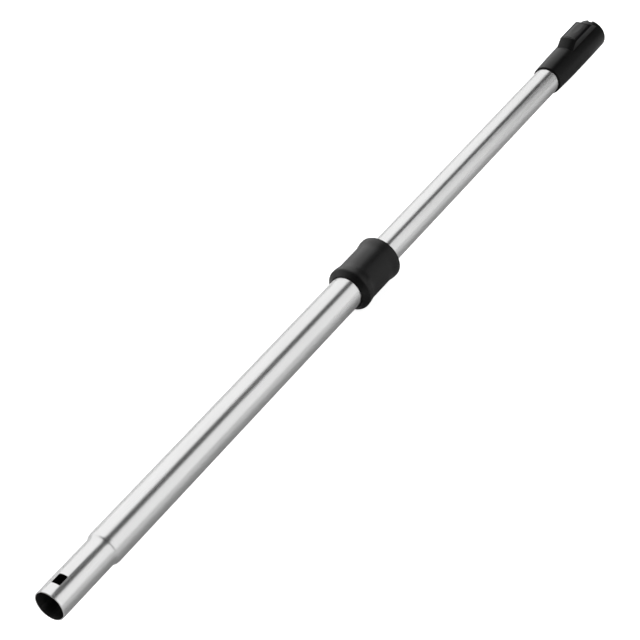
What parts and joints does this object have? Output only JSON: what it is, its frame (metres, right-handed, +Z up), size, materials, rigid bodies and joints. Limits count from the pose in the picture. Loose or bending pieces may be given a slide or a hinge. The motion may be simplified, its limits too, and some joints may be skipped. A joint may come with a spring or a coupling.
{
  "type": "telescopic vacuum wand",
  "caption": "Two-part telescopic steel suction tube with a sliding release sleeve, a necked spigot with a latch window and a latched push-fit socket.",
  "frame": {"origin": "middle of the wand's length on the surface that it lies on, under its axis", "axes": "+X along the wand from the spigot to the socket, +Z up through the latch"},
  "size_m": [1.035, 0.0496, 0.0516],
  "materials": {
    "tube_steel": "satin bright steel",
    "clamp_steel": "ground steel",
    "spring_steel": "drawn spring wire",
    "sleeve_plastic": "fine matt black",
    "socket_plastic": "fine matt black",
    "button_plastic": "satin black",
    "bush_plastic": "plain dark grey",
    "seal_rubber": "plain black",
    "felt": "grey felt"
  },
  "bodies": {
    "outer": {"outer_tube": "tube_steel", "guide_bush": "bush_plastic", "bush_seal": "seal_rubber", "sleeve_spring": "spring_steel"},
    "inner": {"inner_tube": "tube_steel", "tail_ring": "bush_plastic", "tail_seal": "felt", "handle_socket": "socket_plastic", "socket_seal": "seal_rubber", "latch_pin": "clamp_steel", "latch_spring": "spring_steel"},
    "sleeve": {"release_sleeve": "sleeve_plastic", "sleeve_end_ring": "sleeve_plastic", "cam_plate": "clamp_steel"},
    "clamp": {"clamp_shoe": "clamp_steel"},
    "latch": {"latch_button": "button_plastic"}
  },
  "joints": [
    {"name": "telescope", "type": "slide", "parent": "outer", "child": "inner", "axis": [-1, 0, 0], "range_m": [0, 0.365]},
    {"name": "sleeve_slide", "type": "slide", "parent": "outer", "child": "sleeve", "axis": [-1, 0, 0], "range_m": [0, 0.01], "stiffness_N_per_m": 600, "springref_m": -0.008, "deforming": ["sleeve_spring"]},
    {"name": "clamp_lift", "type": "slide", "parent": "outer", "child": "clamp", "axis": [0, 0, -1], "range_m": [0, 0.0008]},
    {"name": "latch_press", "type": "hinge", "parent": "inner", "child": "latch", "pos_m": [0.4825, 0, 0.04577], "axis": [0, 1, 0], "range_deg": [0, 10], "stiffness_Nm_per_rad": 0.02, "springref_deg": -57.3, "deforming": ["latch_spring"]}
  ],
  "couplings": [
    {"joint": "clamp_lift", "follows": "sleeve_slide", "ratio": 0.08}
  ]
}
